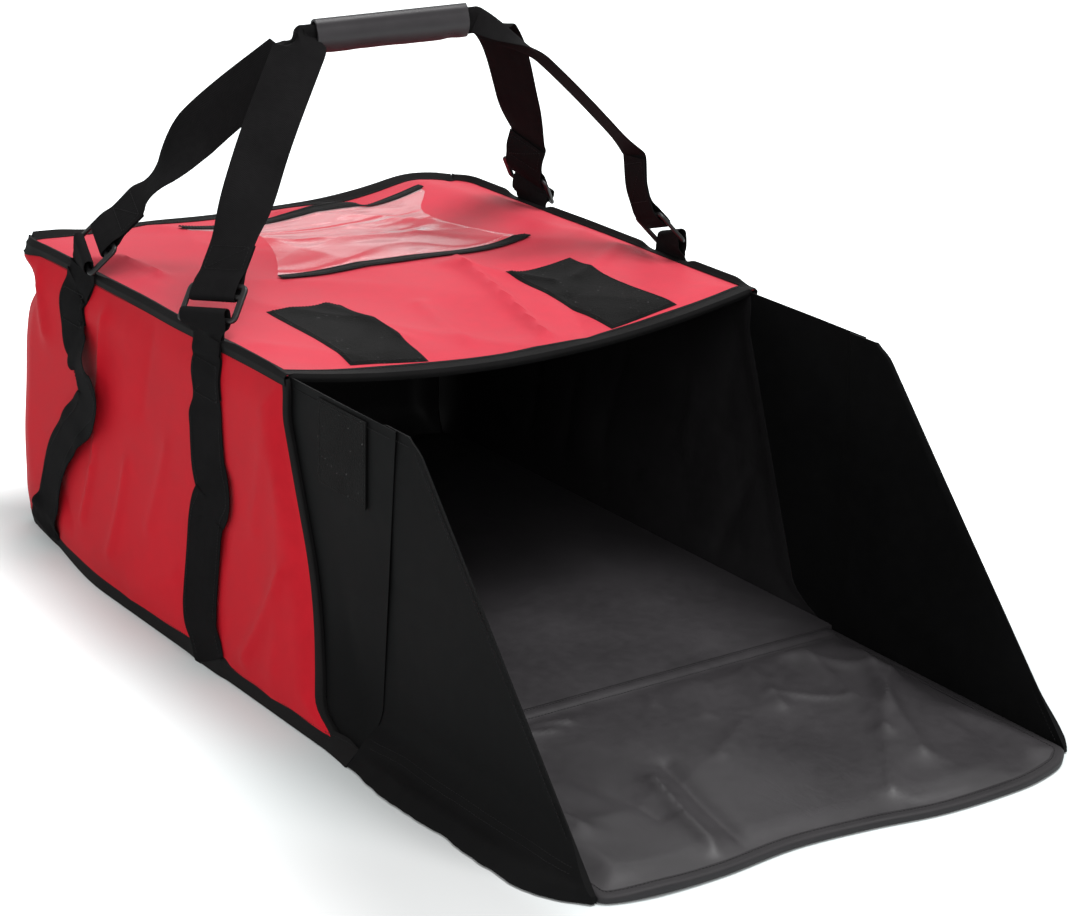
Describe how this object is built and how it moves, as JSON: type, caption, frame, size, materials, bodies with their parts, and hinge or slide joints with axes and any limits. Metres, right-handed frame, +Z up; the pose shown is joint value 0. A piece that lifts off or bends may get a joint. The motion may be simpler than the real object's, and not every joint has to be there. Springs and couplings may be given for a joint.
{
  "type": "insulated delivery bag",
  "caption": "Soft insulated food delivery bag with a fold-down front flap, side wings, clear ticket pocket and webbing carry handle.",
  "frame": {"origin": "middle of the underside of the base", "axes": "+Z up, -Y towards the open front with the flap, X across the bag"},
  "size_m": [0.5556, 1.0101, 0.5501],
  "materials": {
    "red_cloth": "coated woven polyester, low sheen",
    "black_cloth": "coated woven polyester, low sheen",
    "lining": "smooth coated lining with a soft sheen",
    "foam": "closed-cell foam sheet",
    "board": "plain stiff plastic board",
    "seam_tape": "woven grosgrain seam tape",
    "webbing": "flat woven webbing",
    "loop_tape": "hook and loop pile",
    "buckle": "moulded, satin",
    "clear_sheet": "clear flexible vinyl",
    "grip": "smooth padded wrap, soft sheen"
  },
  "bodies": {
    "bag": {"left_side_cover": "red_cloth", "right_side_cover": "red_cloth", "rear_cover": "red_cloth", "top_cover": "red_cloth", "left_rear_corner_tape": "red_cloth", "right_rear_corner_tape": "red_cloth", "left_side_foam": "foam", "right_side_foam": "foam", "rear_foam": "foam", "top_foam": "foam", "base_foam": "foam", "left_side_liner": "lining", "right_side_liner": "lining", "rear_liner": "lining", "top_liner": "lining", "base_liner": "lining", "base_cover": "black_cloth", "left_gusset": "black_cloth", "right_gusset": "black_cloth", "left_front_tape": "seam_tape", "right_front_tape": "seam_tape", "left_top_tape": "seam_tape", "right_top_tape": "seam_tape", "left_base_tape": "seam_tape", "right_base_tape": "seam_tape", "front_top_tape": "seam_tape", "rear_top_tape": "seam_tape", "rear_base_tape": "seam_tape", "ticket_front_tape": "seam_tape", "ticket_rear_tape": "seam_tape", "left_gusset_patch": "loop_tape", "right_gusset_patch": "loop_tape", "left_top_patch": "loop_tape", "right_top_patch": "loop_tape", "front_left_side_strap": "webbing", "front_right_side_strap": "webbing", "rear_left_side_strap": "webbing", "rear_right_side_strap": "webbing", "base_board": "board", "ticket_window": "clear_sheet"},
    "flap": {"flap_cover": "black_cloth", "flap_foam": "foam", "flap_liner": "lining", "flap_hem": "seam_tape"},
    "wings": {"left_wing": "black_cloth", "right_wing": "black_cloth"},
    "handle": {"front_handle_strap": "webbing", "rear_handle_strap": "webbing", "front_left_buckle": "buckle", "front_right_buckle": "buckle", "rear_left_buckle": "buckle", "rear_right_buckle": "buckle", "grip_wrap": "grip"}
  },
  "joints": [
    {"name": "flap_fold", "type": "hinge", "parent": "bag", "child": "flap", "pos_m": [0, -0.3475, 0.0098], "axis": [-1, 0, 0], "range_deg": [0, 117]},
    {"name": "wing_fold", "type": "hinge", "parent": "bag", "child": "wings", "pos_m": [0, -0.3475, 0.0098], "axis": [-1, 0, 0], "range_deg": [0, 88]},
    {"name": "handle_lift", "type": "slide", "parent": "bag", "child": "handle", "axis": [0, 0, 1], "range_m": [0, 0.006]}
  ],
  "couplings": [
    {"joint": "wing_fold", "follows": "flap_fold", "ratio": 0.75}
  ]
}
